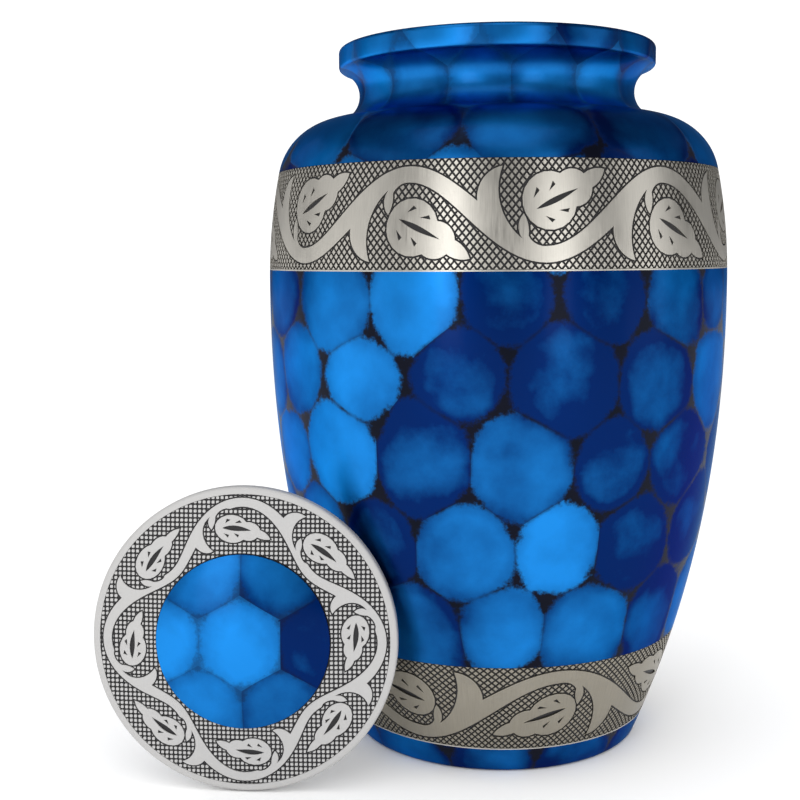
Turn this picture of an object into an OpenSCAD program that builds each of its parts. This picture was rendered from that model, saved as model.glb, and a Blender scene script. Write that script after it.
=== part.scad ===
// Funeral urn with an engraved screw-in lid.
// +Z is up, the origin is the middle of the underside, and -Y is the front.
// All sizes are in millimetres.

/* [Vessel] */
// Height from the underside to the top of the mouth flange
urn_h = 237.6; // [180:0.1:320]
// Radius of the underside
base_r = 49.9; // [36:0.1:60]
// Radius at the widest place
belly_r = 79; // [60:0.1:100]
// Height of the widest place
belly_z = 158; // [110:0.5:200]
// How quickly the belly draws in towards the foot (2 is a plain bow)
belly_power = 2.25; // [1.8:0.05:2.8]
// Radius where the wall turns into the shoulder
shoulder_r = 75.3; // [58:0.1:95]
// Height of the shoulder turn below the top
shoulder_drop = 42.2; // [30:0.1:60]
// Radius of the shoulder's curve
shoulder_bend = 22; // [12:0.5:26]
// Slope at which the wall enters the shoulder
shoulder_lean = 10.6; // [4:0.1:20]
// Thickness of the wall
wall = 2.8; // [2:0.1:5]
// Thickness of the floor
floor_t = 3; // [2:0.1:8]
// Bevel round the underside
foot_bevel = 1; // [0.4:0.1:2]

/* [Neck and mouth] */
// Radius of the neck at its narrowest
neck_r = 47.2; // [44:0.1:60]
// Height of the narrowest place below the top
neck_drop = 15.6; // [12:0.1:24]
// Radius of the hollow curve of the neck
neck_bend = 9; // [7:0.1:14]
// Outer radius of the mouth flange
rim_r = 54.2; // [50:0.1:70]
// Height of the flange's side
rim_h = 7.2; // [4:0.1:12]
// Rounding of the flange's upper edge
rim_round = 1.6; // [0.5:0.1:3]
// Bevel of the flange's lower edge
rim_bevel = 1; // [0.4:0.1:2]
// Radius of the bored and threaded mouth
mouth_r = 42.5; // [36:0.1:43]

/* [Engraved bands] */
// Height of the upper band's lower edge
high_band_z = 163.1; // [130:0.1:180]
// Width of the upper band
high_band_w = 32.3; // [16:0.1:34]
// Leaves round the upper band (even)
high_band_leaves = 12; // [8:2:16]
// Turn of the upper band's first crest from the front
high_band_turn = -19.2; // [-45:0.1:45]
// Length of an upper leaf
high_leaf_l = 28.1; // [16:0.1:30]
// Fullness of an upper leaf (1 is round)
high_leaf_breadth = 1; // [0.6:0.01:1.05]
// How far an upper leaf droops from level
high_droop = 27.3; // [15:0.1:35]
// Height of the lower band's lower edge
low_band_z = 9; // [6:0.1:20]
// Width of the lower band
low_band_w = 30.3; // [16:0.1:34]
// Leaves round the lower band (even)
low_band_leaves = 8; // [6:2:12]
// Turn of the lower band's first crest from the front
low_band_turn = 19.5; // [-45:0.1:45]
// Length of a lower leaf
low_leaf_l = 31; // [16:0.1:34]
// Fullness of a lower leaf (1 is round)
low_leaf_breadth = 0.8; // [0.6:0.01:1.05]
// How far a lower leaf droops from level
low_droop = 18; // [10:0.1:30]
// Depth of the cut ground between the leaves
ground_depth = 0.5; // [0.3:0.1:1]

/* [Lid] */
// Radius of the lid
lid_r = 48.2; // [46:0.1:60]
// Thickness of the lid's edge
lid_edge = 4; // [3:0.1:8]
// Bevel of the lid's front edge
lid_bevel = 1; // [0.4:0.1:2]
// Outer radius of the lid's engraved ring
ring_outer_r = 45.9; // [40:0.1:47]
// Inner radius of the engraved ring, where the boss begins
ring_inner_r = 27.4; // [20:0.1:32]
// Rise of the face from the edge to the boss
face_rise = 1.6; // [0.5:0.1:4]
// Step up from the ring to the boss
boss_step = 0.8; // [0.3:0.1:2]
// Rise of the boss above its own edge
boss_rise = 2.6; // [1:0.1:6]
// Leaves round the lid (even)
lid_leaves = 8; // [6:2:12]
// Length of a leaf on the lid
lid_leaf_l = 18.8; // [10:0.1:20]
// Fullness of a leaf on the lid (1 is round)
lid_leaf_breadth = 0.76; // [0.6:0.01:1]
// How far a lid leaf droops towards the middle
lid_droop = 9; // [4:0.1:20]
// Thickness of the lid's plate above the hollow
plate_t = 3; // [2:0.1:5]
// Length of the collar that screws into the mouth
collar_h = 5; // [3:0.1:8]
// Thickness of the collar
collar_wall = 2.4; // [1.5:0.1:4]
// Gap between the collar and the mouth, on the radius
collar_clearance = 0.4; // [0.2:0.05:1]

/* [Lid leaning on the urn] */
// How far the lid leans back
lid_lean = 3; // [1:0.5:8]
// Place of the lid to the left of the urn's axis
lid_left = 78; // [70:0.5:90]
// Gap left between the lid and the wall it leans on
lean_clearance = 0.3; // [0.2:0.1:0.6]

/* [Hidden] */
$fn = 144;

// How deep the raised scroll is rooted in the metal under the ground.
root_depth = 0.6;
// Overlap between neighbouring lengths of the scroll.
seam = 0.2;
// Steps along the belly, and along each small curve.
belly_steps = 18;
bend_steps = 8;
lobe_steps = 7;
edge_steps = 12;

shoulder_z = urn_h - shoulder_drop;
shoulder_centre = [shoulder_r - shoulder_bend * cos(shoulder_lean),
                   shoulder_z - shoulder_bend * sin(shoulder_lean)];
neck_centre = [neck_r + neck_bend, urn_h - neck_drop];
flange_z = urn_h - rim_h;
collar_r = mouth_r - collar_clearance;

// ---- outline of the vessel ----

// Radius of the outside at height z, from the foot to the shoulder.
function skin_r(z) = z <= belly_z
    ? belly_r - (belly_r - base_r) * pow((belly_z - z) / belly_z, belly_power)
    : belly_r - (belly_r - shoulder_r) * pow((z - belly_z) / (shoulder_z - belly_z), 2);

// Points up the outside from one height to another, at a depth under the skin.
function skin_points(z0, z1, steps, depth = 0) =
    [for (i = [0:steps]) let (z = z0 + (z1 - z0) * i / steps) [skin_r(z) - depth, z]];

// Points on a circle from angle a0 to a1, the angle counted from the outward direction.
function bend_points(centre, r, a0, a1, steps) =
    [for (i = [0:steps]) let (a = a0 + (a1 - a0) * i / steps) centre + r * [cos(a), sin(a)]];

// The shoulder's curve ends where it would pass under the neck's hollow.
shoulder_top_a = 88;
neck_low_a = 180 + asin((neck_centre.y - (shoulder_centre.y + shoulder_bend)) / neck_bend);
neck_high_a = 180 - asin((flange_z - neck_centre.y) / neck_bend);

function outside_points() = concat(
    [[0, 0], [skin_r(0) - foot_bevel, 0]],
    skin_points(foot_bevel, low_band_z, 1),
    skin_points(low_band_z, low_band_z + low_band_w, 4, ground_depth),
    skin_points(low_band_z + low_band_w, high_band_z, belly_steps),
    skin_points(high_band_z, high_band_z + high_band_w, 5, ground_depth),
    bend_points(shoulder_centre, shoulder_bend, shoulder_lean, shoulder_top_a, 2 * bend_steps),
    bend_points(neck_centre, neck_bend, neck_low_a, neck_high_a, 2 * bend_steps),
    [[rim_r, flange_z + rim_bevel]],
    bend_points([rim_r - rim_round, urn_h - rim_round], rim_round, 0, 90, bend_steps),
    [[0, urn_h]]);

// The hollow: the wall's thickness inside the skin, up to the bored mouth.
hollow_bend = shoulder_bend - wall;
hollow_top_a = 84;
hollow_top = shoulder_centre.y + hollow_bend * sin(hollow_top_a);
function hollow_points() = concat(
    [[0, floor_t]],
    skin_points(floor_t, shoulder_z, belly_steps, wall),
    bend_points(shoulder_centre, hollow_bend, shoulder_lean, hollow_top_a, bend_steps),
    [[0, hollow_top]]);

// ---- the scroll, drawn flat ----
// x runs along the band from a crest of the vine and y across it from its middle line.
// pitch is the length from a crest to the next trough, and half is half the band's width.

// Points on a bow from a towards b; its height is k times half the chord, to the left if positive.
function bow(a, b, k, steps = bend_steps) =
    let (chord = norm(b - a), along = (b - a) / chord, across = [-along.y, along.x],
         turn = 2 * atan(k), r = chord / 2 / sin(turn),
         centre = (a + b) / 2 - across * r * cos(turn))
    [for (i = [0:steps - 1]) let (t = turn * (2 * i / steps - 1))
        centre + r * (along * sin(t) + across * cos(t))];

// The two edges of the vine between a crest (s = 0) and a trough (s = 1).
function vine_outer(s) = 0.161 + 0.712 * cos(0.92 * 180 * s);
function vine_inner(s) = -0.146 + 0.728 * cos(180 * (s + 0.03 * sin(180 * s)));

// Where the vine forks, its thorn's point, the crotch behind it, the next leaf's stalk, the
// stalk's elbow and its heel: each a share of the pitch, its height as a share of half the
// width, and how far the edge from there to the next one bows.
band_marks = [[0.51, vine_outer(0.51), 0.4], [0.69, 0.85, -0.33], [0.83, -0.45, 0.38],
              [0.84, 0, 0.18], [0.873, -0.4, -0.3], [1, -vine_inner(0), 0]];
lid_marks = [[0.41, vine_outer(0.41), 0.4], [0.6, 0.77, -0.52], [0.675, -0.37, 0.38],
             [0.655, 0.06, 0.18], [0.725, -0.33, -0.3], [0.88, -0.545, 0]];

// One length of vine from crest to trough, with its thorn and the next leaf's stalk.
function vine_outline(pitch, half, marks) =
    let (mark = [for (m = marks) [m.x * pitch, m.y * half]],
         fork_s = marks[0].x, heel_s = marks[5].x)
    concat(
        [[-seam, vine_outer(0) * half]],
        [for (i = [0:edge_steps - 1]) let (s = fork_s * i / edge_steps)
            [s * pitch, vine_outer(s) * half]],
        [for (i = [0:4], q = bow(mark[i], mark[i + 1], marks[i].z, i < 2 ? bend_steps : 4)) q],
        [for (s = [heel_s, (heel_s + 1) / 2, 1]) [s * pitch, -vine_inner(1 - s) * half]],
        [[pitch + seam, -vine_inner(0) * half], [pitch + seam, vine_inner(1) * half]],
        [for (i = [edge_steps:-1:0]) let (s = i / edge_steps)
            [s * pitch, vine_inner(s) * half]],
        [[-seam, vine_inner(0) * half]]);

// A leaf of three lobes a side, its base at the origin and its tip along +x.
leaf_shape = [[0, 0], [0.517, 0.187], [0.774, 0.099], [1, 0], [0.76, -0.068], [0.523, -0.191]];
leaf_bulge = [0.74, 0.4, 0.22, 0.23, 0.38, 0.71];
function leaf_outline(length, breadth) =
    [for (i = [0:5],
          q = bow(leaf_shape[i] * length, leaf_shape[(i + 1) % 6] * length, leaf_bulge[i], lobe_steps))
        [q.x, q.y * breadth]];

// The leaf as it hangs from the stalk before a crest, parted from the stalk by a cut.
leaf_cut = 0.6;
function placed_leaf(pitch, half, marks, length, breadth, droop) =
    let (along = [cos(droop), -sin(droop)], across = [sin(droop), cos(droop)],
         base = [(marks[3].x - 1) * pitch + leaf_cut, -marks[3].y * half])
    [for (q = leaf_outline(length, breadth)) base + q.x * along + q.y * across];

// Left-right mirror (hand = -1), and the up-down mirror of every second length.
function flipped(points, hand, side) = [for (q = points) [q.x * hand, q.y * side]];

// ---- the scroll on a turned wall ----

// A pad that stands out from the axis, from radius near to far. Its outline is carried round
// by angles taken at radius r, on a wall of radius wall_r.
module wall_pad(points, mid, r, wall_r, near, far, z) {
    rotate([0, 0, mid / r * 180 / PI])
        translate([0, -near, z])
            rotate([90, 0, 0])
                linear_extrude(far - near)
                    polygon([for (q = points) [wall_r * sin((q.x - mid) / r * 180 / PI), q.y]]);
}

module band_scroll(z, width, leaves, turn, hand, leaf_length, breadth, droop) {
    half = width / 2;
    depth = ground_depth + root_depth;
    r = max(skin_r(z), skin_r(z + half), skin_r(z + width));
    wall_r = skin_r(z + half);
    low_r = min(skin_r(z), skin_r(z + width)) - depth;
    near = sqrt(pow(low_r, 2) - pow(wall_r * sin(180 / leaves + 1), 2));
    pitch = 2 * PI * r / leaves;
    vine = vine_outline(pitch, half, band_marks);
    leaf = placed_leaf(pitch, half, band_marks, leaf_length, breadth, droop);
    intersection() {
        rotate_extrude()
            polygon(concat(skin_points(z, z + width, 5, depth),
                           skin_points(z + width, z, 5)));
        for (i = [0:leaves - 1]) {
            side = i % 2 == 0 ? 1 : -1;
            rotate([0, 0, turn + hand * i * 360 / leaves]) {
                wall_pad(flipped(vine, hand, side), hand * pitch / 2, r, wall_r, near, r + 1, z + half);
                wall_pad(flipped(leaf, hand, side), hand * half / 3, r, wall_r, near, r + 1, z + half);
            }
        }
    }
}

// ---- the scroll on the lid's face ----

ring_half = (ring_outer_r - ring_inner_r) / 2;
ring_mid_r = (ring_outer_r + ring_inner_r) / 2;

// Flat scroll to ring: x becomes an angle and y a radius; angles run clockwise from the top.
function ring_points(points) = [for (q = points) let (a = 90 - q.x / ring_mid_r * 180 / PI)
    (ring_mid_r + q.y) * [cos(a), sin(a)]];

function face_z(r) = lid_edge + face_rise * (lid_r - lid_bevel - r) / (lid_r - lid_bevel - ring_inner_r);

module lid_scroll() {
    pitch = 2 * PI * ring_mid_r / lid_leaves;
    vine = vine_outline(pitch, ring_half, lid_marks);
    leaf = placed_leaf(pitch, ring_half, lid_marks, lid_leaf_l, lid_leaf_breadth, lid_droop);
    low = ground_depth + root_depth;
    inner = ring_inner_r - low;
    intersection() {
        rotate_extrude()
            polygon([[inner, face_z(ring_inner_r) - low],
                     [ring_outer_r, face_z(ring_outer_r) - low],
                     [ring_outer_r, face_z(ring_outer_r)],
                     [inner, face_z(inner)]]);
        for (i = [0:lid_leaves - 1]) {
            side = i % 2 == 0 ? 1 : -1;
            rotate([0, 0, -i * 360 / lid_leaves])
                linear_extrude(lid_edge + face_rise + 1) {
                    polygon(ring_points(flipped(vine, 1, side)));
                    polygon(ring_points(flipped(leaf, 1, side)));
                }
        }
    }
}

// The lid lying face up, its edge's underside at z = 0 and its collar below.
module lid_flat() {
    boss_z = face_z(ring_inner_r) + boss_step;
    boss_bend = (pow(ring_inner_r, 2) + pow(boss_rise, 2)) / 2 / boss_rise;
    boss_a = asin(ring_inner_r / boss_bend);
    hollow_r = collar_r - collar_wall;
    difference() {
        rotate_extrude()
            polygon(concat(
                [[0, -collar_h], [collar_r, -collar_h], [collar_r, 0], [lid_r, 0],
                 [lid_r, lid_edge - lid_bevel], [lid_r - lid_bevel, lid_edge],
                 [ring_outer_r, face_z(ring_outer_r)],
                 [ring_outer_r, face_z(ring_outer_r) - ground_depth],
                 [ring_inner_r, face_z(ring_inner_r) - ground_depth]],
                bend_points([0, boss_z + boss_rise - boss_bend], boss_bend, 90 - boss_a, 90, bend_steps)));
        rotate_extrude()
            polygon([[0, -collar_h - 1], [hollow_r, -collar_h - 1],
                     [hollow_r, lid_edge - plate_t], [0, lid_edge - plate_t + face_rise]]);
    }
    lid_scroll();
}

// How far forward the lid's foot stands, so that its edge and its collar both clear the wall.
// The wall is tried at heights up the lid, where each circle passes furthest in front of it.
function wall_front(z, x) = sqrt(max(pow(skin_r(z), 2) - pow(x, 2), 0));
function circle_forward(r, depth) = max([for (a = [-80:4:80])
    let (h = lid_r + r * sin(a), x = r * cos(a) - lid_left)
    wall_front(h * cos(lid_lean), x) + h * sin(lid_lean) + depth]);
lid_forward = max(circle_forward(lid_r, lid_edge), circle_forward(collar_r, lid_edge + collar_h))
    + lean_clearance;
// Leaning back, the lid stands on the back of its edge, which would dip by this much.
lid_dip = lid_edge * sin(lid_lean);

// ---- the pieces ----

module urn_body() {
    color("royalblue") {
        difference() {
            rotate_extrude() polygon(outside_points());
            rotate_extrude() polygon(hollow_points());
            translate([0, 0, hollow_top - 1]) cylinder(r = mouth_r, h = urn_h - hollow_top + 2);
        }
        band_scroll(high_band_z, high_band_w, high_band_leaves, high_band_turn, 1,
                    high_leaf_l, high_leaf_breadth, high_droop);
        band_scroll(low_band_z, low_band_w, low_band_leaves, low_band_turn, -1,
                    low_leaf_l, low_leaf_breadth, low_droop);
    }
}

module lid() {
    color("silver")
        translate([-lid_left, -lid_forward, lid_dip])
            rotate([-lid_lean, 0, 0])
                translate([0, lid_edge, lid_r])
                    rotate([90, 0, 0])
                        lid_flat();
}

urn_body();
lid();
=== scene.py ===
import math
import random

import bpy
import numpy as np
from bpy.props import FloatProperty, IntProperty, PointerProperty, StringProperty
from mathutils import Matrix, Vector
from mathutils.geometry import delaunay_2d_cdt


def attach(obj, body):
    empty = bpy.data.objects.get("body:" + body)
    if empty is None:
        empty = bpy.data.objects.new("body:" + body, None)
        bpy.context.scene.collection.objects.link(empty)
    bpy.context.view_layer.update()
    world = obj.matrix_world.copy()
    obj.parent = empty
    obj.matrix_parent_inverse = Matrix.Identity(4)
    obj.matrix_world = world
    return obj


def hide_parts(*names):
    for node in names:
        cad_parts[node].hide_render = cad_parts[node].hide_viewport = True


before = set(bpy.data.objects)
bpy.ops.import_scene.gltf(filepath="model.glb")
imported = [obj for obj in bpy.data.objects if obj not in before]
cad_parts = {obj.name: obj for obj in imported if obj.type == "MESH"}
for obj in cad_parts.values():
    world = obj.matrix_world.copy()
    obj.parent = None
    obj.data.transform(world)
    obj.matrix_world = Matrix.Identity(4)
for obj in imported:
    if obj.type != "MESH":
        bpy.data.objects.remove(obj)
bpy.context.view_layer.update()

bl_info = {
    "name": "Funeral urn",
    "version": (1, 0, 0),
    "blender": (4, 5, 0),
    "location": "View3D > Sidebar > Urn",
    "description": "Blue lacquered metal urn with engraved leaf bands, and its lid",
    "category": "Object",
}

MM = 0.001


def length(name, mm, description):
    return FloatProperty(name=name, description=description, default=mm * MM, unit="LENGTH", precision=5)


def angle(name, degrees, description):
    return FloatProperty(name=name, description=description, default=math.radians(degrees), unit="ROTATION")


def share(name, value, description):
    return FloatProperty(name=name, description=description, default=value, soft_min=0, soft_max=3)


def number(name, value, description):
    return IntProperty(name=name, description=description, default=value, min=1)


def colour(name, code, description):
    return StringProperty(name=name, description=description + ", as an sRGB hex code", default=code)


class UrnSizes(bpy.types.PropertyGroup):
    """Sizes of the turned vessel and of the thread in its mouth"""
    height: length("Height", 237.6, "Underside to the top of the flange")
    base_r: length("Base radius", 49.9, "Radius of the underside")
    belly_r: length("Belly radius", 79, "Radius at the widest place")
    belly_z: length("Belly height", 158, "Height of the widest place")
    belly_power: share("Belly power", 2.25, "How quickly the belly draws in towards the foot")
    shoulder_r: length("Shoulder radius", 75.3, "Radius where the wall turns into the shoulder")
    shoulder_drop: length("Shoulder drop", 42.2, "Shoulder turn below the top")
    shoulder_bend: length("Shoulder bend", 22, "Radius of the shoulder's curve")
    shoulder_lean: angle("Shoulder lean", 10.6, "Slope at which the wall enters the shoulder")
    wall: length("Wall", 2.8, "Thickness of the wall")
    floor_t: length("Floor", 3, "Thickness of the floor")
    foot_bevel: length("Foot bevel", 1, "Rounding round the underside")
    neck_r: length("Neck radius", 47.2, "Radius of the neck at its narrowest")
    neck_drop: length("Neck drop", 15.6, "Narrowest place below the top")
    neck_bend: length("Neck bend", 9, "Radius of the neck's hollow curve")
    rim_r: length("Flange radius", 54.2, "Outer radius of the flange")
    rim_h: length("Flange height", 7.2, "Height of the flange's side")
    rim_round: length("Flange rounding", 1.6, "Rounding of the flange's upper edge")
    rim_bevel: length("Flange bevel", 1, "Bevel of the flange's lower edge")
    mouth_r: length("Mouth radius", 42.5, "Bearing radius of the threaded mouth")
    thread_pitch: length("Thread pitch", 3, "Rise of the thread in one turn")
    thread_depth: length("Thread depth", 0.5, "Height of the thread's ridge over the wall")
    thread_turns: number("Thread turns", 4, "Turns of the thread in the mouth")
    ground_depth: length("Ground depth", 0.5, "Depth of the cut ground between the leaves")


class BandSizes(bpy.types.PropertyGroup):
    """Places and sizes of the two engraved bands"""
    high_z: length("Upper band height", 163.1, "Height of the upper band's lower edge")
    high_w: length("Upper band width", 32.3, "Width of the upper band")
    high_leaves: number("Upper leaves", 12, "Leaves round the upper band, an even number")
    high_turn: angle("Upper turn", -19.2, "Turn of the first crest from the front")
    high_leaf: length("Upper leaf", 28.1, "Length of an upper leaf")
    high_droop: angle("Upper droop", 27.3, "How far an upper leaf droops")
    low_z: length("Lower band height", 9, "Height of the lower band's lower edge")
    low_w: length("Lower band width", 30.3, "Width of the lower band")
    low_leaves: number("Lower leaves", 8, "Leaves round the lower band, an even number")
    low_turn: angle("Lower turn", 19.5, "Turn of the first crest from the front")
    low_leaf: length("Lower leaf", 31, "Length of a lower leaf")
    low_droop: angle("Lower droop", 18, "How far a lower leaf droops")
    groove: length("Outline cut", 0.55, "Width of the cut round the vine and leaves")
    edge_line: length("Edge line", 0.45, "Width of the bright line at a band's edge")


class LidSizes(bpy.types.PropertyGroup):
    """Sizes of the lid, and where it leans"""
    radius: length("Lid radius", 48.2, "Radius of the lid")
    edge: length("Edge", 4, "Thickness of the lid's edge")
    bevel: length("Edge bevel", 1, "Rounding of the lid's front edge")
    ring_outer: length("Ring outer radius", 45.9, "Outer radius of the engraved ring")
    ring_inner: length("Ring inner radius", 27.4, "Inner radius of the engraved ring")
    face_rise: length("Face rise", 1.6, "Rise of the face from the edge to the boss")
    boss_step: length("Boss step", 0.8, "Step up from the ring to the boss")
    boss_rise: length("Boss rise", 2.6, "Rise of the boss above its own edge")
    leaves: number("Leaves", 8, "Leaves round the lid, an even number")
    leaf: length("Leaf", 18.8, "Length of a leaf")
    droop: angle("Droop", 9, "How far a leaf droops towards the middle")
    plate: length("Plate", 3, "Thickness of the plate above the hollow")
    collar_h: length("Collar", 5, "Length of the collar")
    collar_wall: length("Collar wall", 2.4, "Thickness of the collar")
    collar_r: length("Collar radius", 42.1, "Outer radius of the collar's thread")
    lean: angle("Lean", 3, "How far the lid leans back")
    left: length("Place to the left", 78, "Middle of the lid to the left of the urn's axis")


class Finishes(bpy.types.PropertyGroup):
    """Colours of the finishes"""
    pale: colour("Pale lacquer", "#1C86DA", "The lightest pebbles")
    deep: colour("Deep lacquer", "#00225E", "The darkest pebbles")
    vein: colour("Veins", "#04050E", "Veins between the pebbles")
    vein_warm: colour("Warm veins", "#120B16", "Warm parts of the veins")
    metal: colour("Band metal", "#D6D2C9", "Bare metal of the upper band")
    # Painted shade: the lower band's metal is the band metal drawn darker and browner, for the shade that
    # falls low on the urn.
    metal_low_shaded: colour("Lower band metal", "#A29C8F", "Bare metal of the lower band, which has dulled")
    metal_lid: colour("Lid metal", "#B4B3B2", "Bare metal of the lid")
    sheen: colour("Lacquer sheen", "#6FB2E6", "Tint of the lacquer's reflections")
    fill: colour("Enamel fill", "#08080A", "Black filled into the cut ground")
    grit: colour("Enamel grit", "#1E1C20", "Paler grains in the black")
    spun_dark: colour("Spun metal, dark", "#9C9B99", "Darker clouds of the bare metal inside")
    spun_light: colour("Spun metal, light", "#C9C8C6", "Lighter clouds of the bare metal inside")
    floor: colour("Floor", "#F2F2F2", "Floor of the studio")


def groups():
    """The sizes of the urn, its bands and its lid, and the finishes."""
    scene = bpy.context.scene
    return scene.urn_sizes, scene.urn_bands, scene.urn_lid, scene.urn_finishes


# ---- small tools ----

def clear_selection():
    if bpy.context.object and bpy.context.object.mode != "OBJECT":
        bpy.ops.object.mode_set(mode="OBJECT")
    bpy.ops.object.select_all(action="DESELECT")


def pick(obj):
    clear_selection()
    obj.select_set(True)
    bpy.context.view_layer.objects.active = obj
    return obj


def edit(obj, *steps):
    """Runs edit-mode operators on all of obj's mesh."""
    pick(obj)
    bpy.ops.object.mode_set(mode="EDIT")
    bpy.ops.mesh.select_all(action="SELECT")
    for step in steps:
        step()
    bpy.ops.object.mode_set(mode="OBJECT")
    return obj


def modify(obj, kind, **settings):
    """Adds a modifier and applies it."""
    pick(obj)
    mod = obj.modifiers.new(kind.title(), kind)
    for key, value in settings.items():
        setattr(mod, key, value)
    bpy.ops.object.modifier_apply(modifier=mod.name)
    return obj


def points_of(mesh):
    """The mesh's points, one row each."""
    co = np.empty(len(mesh.vertices) * 3)
    mesh.vertices.foreach_get("co", co)
    return co.reshape(-1, 3)


def move_points(mesh, co):
    mesh.vertices.foreach_set("co", np.ascontiguousarray(co, dtype=float).ravel())
    mesh.update()


def centres_of(mesh):
    """The middles of the mesh's faces, one row each."""
    c = np.empty(len(mesh.polygons) * 3)
    mesh.polygons.foreach_get("center", c)
    return c.reshape(-1, 3)


def corners_of(mesh):
    """The point that each face corner is at."""
    vert = np.empty(len(mesh.loops), np.int32)
    mesh.loops.foreach_get("vertex_index", vert)
    return vert


def faces_of_corners(mesh):
    """The face that each face corner belongs to."""
    total = np.empty(len(mesh.polygons), np.int32)
    mesh.polygons.foreach_get("loop_total", total)
    return np.repeat(np.arange(len(total)), total)


def smooth(obj, degrees=35):
    pick(obj)
    bpy.ops.object.shade_smooth_by_angle(angle=math.radians(degrees))


def turned(name, outline, steps):
    """Draws an outline of (radius, height, material) points from a single vertex and spins it round Z.
    A point's material is that of the wall from there to the next point."""
    pts = [Vector((r, 0, z)) for r, z, _ in outline]
    clear_selection()
    bpy.ops.mesh.primitive_plane_add(size=10 * MM, location=pts[0])
    obj = bpy.context.object
    bpy.ops.object.transform_apply(location=True, rotation=True, scale=True)
    bpy.ops.object.mode_set(mode="EDIT")
    bpy.ops.mesh.select_mode(type="VERT")
    bpy.ops.mesh.select_all(action="SELECT")
    bpy.ops.mesh.merge(type="CENTER")
    for a, b in zip(pts, pts[1:]):
        bpy.ops.mesh.extrude_vertices_move(TRANSFORM_OT_translate={"value": b - a})
    bpy.ops.mesh.select_all(action="SELECT")
    bpy.ops.mesh.spin(steps=steps, angle=2 * math.pi, center=(0, 0, 0), axis=(0, 0, 1))
    bpy.ops.mesh.select_all(action="SELECT")
    bpy.ops.mesh.remove_doubles(threshold=1e-6)
    bpy.ops.mesh.normals_make_consistent(inside=False)
    bpy.ops.object.mode_set(mode="OBJECT")
    obj.name = obj.data.name = name
    mid = np.array([((a[0] + b[0]) / 2, (a[1] + b[1]) / 2) for a, b in zip(outline, outline[1:])])
    kinds = np.array([k for _, _, k in outline[:-1]])
    c = centres_of(obj.data)
    rz = np.stack([np.hypot(c[:, 0], c[:, 1]) / math.cos(math.pi / steps), c[:, 2]], 1)
    near = np.argmin(((rz[:, None] - mid[None]) ** 2).sum(2), 1)
    obj.data.polygons.foreach_set("material_index", kinds[near].astype(np.int32))
    return obj


# ---- outline of the vessel ----

def skin_r(z):
    """Radius of the outside at height z, from the foot to the shoulder's turn."""
    s = groups()[0]
    z = np.asarray(z, float)
    low = s.belly_r - (s.belly_r - s.base_r) * np.maximum((s.belly_z - z) / s.belly_z, 0) ** s.belly_power
    top = s.height - s.shoulder_drop
    high = s.belly_r - (s.belly_r - s.shoulder_r) * np.maximum((z - s.belly_z) / (top - s.belly_z), 0) ** 2
    return np.where(z <= s.belly_z, low, high)


def bend(centre, r, a0, a1, steps):
    """Points on an arc from angle a0 to a1."""
    turn = np.linspace(a0, a1, steps + 1)
    return [(centre[0] + r * math.cos(a), centre[1] + r * math.sin(a)) for a in turn]


def climb(z0, z1, step, depth=0):
    """Points up the wall from z0 to z1, about a step apart and depth inside the skin."""
    z = np.linspace(z0, z1, max(1, round((z1 - z0) / step)) + 1)
    return list(zip(skin_r(z) - depth, z))


def bend_middles(s):
    """Middles of the shoulder's and the neck's curves."""
    top = s.height - s.shoulder_drop
    shoulder = (s.shoulder_r - s.shoulder_bend * math.cos(s.shoulder_lean),
                top - s.shoulder_bend * math.sin(s.shoulder_lean))
    neck = (s.neck_r + s.neck_bend, s.height - s.neck_drop)
    return shoulder, neck


# Materials of a turned piece, in the order of its slots.
LACQUER, BARE, ENAMEL, INSIDE = range(4)
# Rounded edges: the foot's and the flange's lower edge as shares of their bevel, in from the wall and up;
# the mouth's in millimetres, out from the bearing radius and down; the floor's inside, in and up.
FOOT_EASE = ((1, 0), (.5, .12), (.1, .45))
RIM_EASE = ((1, 0), (.6, .08), (.2, .45), (0, 1))
MOUTH_LIP = 1.4
MOUTH_EASE = ((.9, 0), (.3, .3), (0, .9), (0, MOUTH_LIP))
FLOOR_EASE = ((.4, 1.6), (2, .3), (4, 0))
# Angles at which the shoulder's curve ends, outside and inside.
SHOULDER_END, HOLLOW_END = math.radians(88), math.radians(84)
# Rise between two rings of the wall, outside and inside.
RING_STEP, INNER_STEP = 2.4 * MM, 8 * MM


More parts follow.
